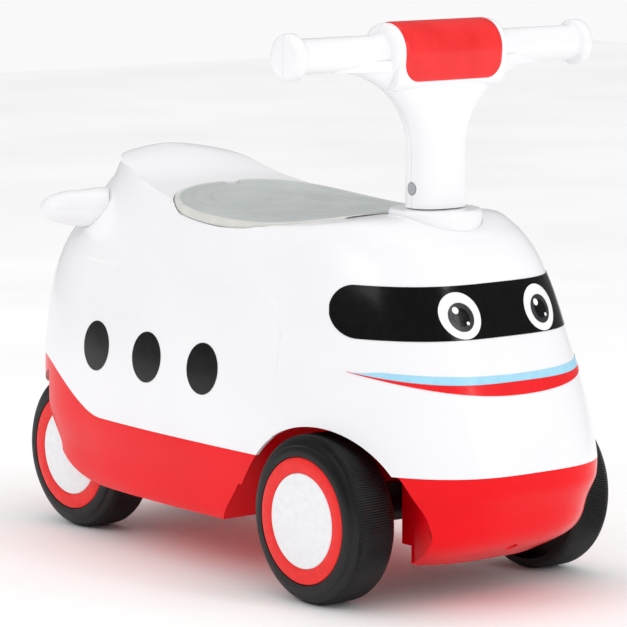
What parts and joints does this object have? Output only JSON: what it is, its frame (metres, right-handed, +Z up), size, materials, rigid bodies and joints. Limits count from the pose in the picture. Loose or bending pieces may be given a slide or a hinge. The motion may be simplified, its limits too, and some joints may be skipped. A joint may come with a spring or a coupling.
{
  "type": "toy airplane",
  "caption": "Foot-to-floor ride-on toy airplane with a rounded two-shell body, stub tail fins, a lift-up seat over a storage tub, a steering handlebar and free-rolling wheels.",
  "frame": {"origin": "on the floor, under the middle of the body's length and width", "axes": "+X towards the nose, +Y to the rider's left, +Z up"},
  "size_m": [0.5499, 0.298, 0.4377],
  "materials": {
    "white_plastic": "glossy moulded",
    "red_plastic": "glossy moulded",
    "tub_plastic": "satin moulded",
    "seat_plastic": "fine matt texture",
    "grey_nylon": "satin moulded",
    "wheel_plastic": "satin moulded",
    "steel": "zinc plated",
    "black_decal": "printed film",
    "white_decal": "printed film",
    "red_decal": "printed film",
    "blue_decal": "printed film",
    "pad_vinyl": "soft vinyl over foam"
  },
  "bodies": {
    "body": {"upper_shell": "white_plastic", "lower_shell": "red_plastic", "left_tail_fin": "white_plastic", "right_tail_fin": "white_plastic", "storage_tub": "tub_plastic", "body_hinge_leaf": "grey_nylon", "hinge_pin": "steel", "steering_collar": "white_plastic", "upper_bush": "grey_nylon", "lower_bush": "grey_nylon", "body_screws": "steel", "visor_decal": "black_decal", "eye_decals": "white_decal", "pupil_decals": "black_decal", "red_stripe_decal": "red_decal", "blue_stripe_decal": "blue_decal", "window_decals": "black_decal", "rear_axle_carrier": "red_plastic", "rear_axle": "steel", "rear_push_nuts": "steel"},
    "steering": {"handlebar_front_half": "white_plastic", "handlebar_rear_half": "white_plastic", "handlebar_pad": "pad_vinyl", "handlebar_screws": "steel", "steering_rod": "steel", "rod_clip": "steel", "front_axle_carrier": "grey_nylon", "front_axle": "steel", "front_push_nuts": "steel"},
    "lid": {"seat_lid": "seat_plastic", "lid_hinge_leaf": "grey_nylon"},
    "front_left_wheel_set": {"front_left_wheel": "wheel_plastic", "front_left_hub_cap": "red_plastic", "front_left_hub_disc": "white_plastic"},
    "front_right_wheel_set": {"front_right_wheel": "wheel_plastic", "front_right_hub_cap": "red_plastic", "front_right_hub_disc": "white_plastic"},
    "rear_left_wheel_set": {"rear_left_wheel": "wheel_plastic", "rear_left_hub_cap": "red_plastic", "rear_left_hub_disc": "white_plastic"},
    "rear_right_wheel_set": {"rear_right_wheel": "wheel_plastic", "rear_right_hub_cap": "red_plastic", "rear_right_hub_disc": "white_plastic"}
  },
  "joints": [
    {"name": "steering_turn", "type": "hinge", "parent": "body", "child": "steering", "pos_m": [0.153, 0, 0.29], "axis": [0, 0, 1], "range_deg": [-7, 7]},
    {"name": "lid_hinge", "type": "hinge", "parent": "body", "child": "lid", "pos_m": [0.109, 0, 0.28269], "axis": [0, 1, 0], "range_deg": [0, 80]},
    {"name": "front_left_wheel_spin", "type": "hinge", "parent": "steering", "child": "front_left_wheel_set", "pos_m": [0.153, 0.112, 0.065], "axis": [0, 1, 0], "continuous": true},
    {"name": "front_right_wheel_spin", "type": "hinge", "parent": "steering", "child": "front_right_wheel_set", "pos_m": [0.153, -0.112, 0.065], "axis": [0, 1, 0], "continuous": true},
    {"name": "rear_left_wheel_spin", "type": "hinge", "parent": "body", "child": "rear_left_wheel_set", "pos_m": [-0.208, 0.071, 0.065], "axis": [0, 1, 0], "continuous": true},
    {"name": "rear_right_wheel_spin", "type": "hinge", "parent": "body", "child": "rear_right_wheel_set", "pos_m": [-0.208, -0.071, 0.065], "axis": [0, 1, 0], "continuous": true}
  ]
}
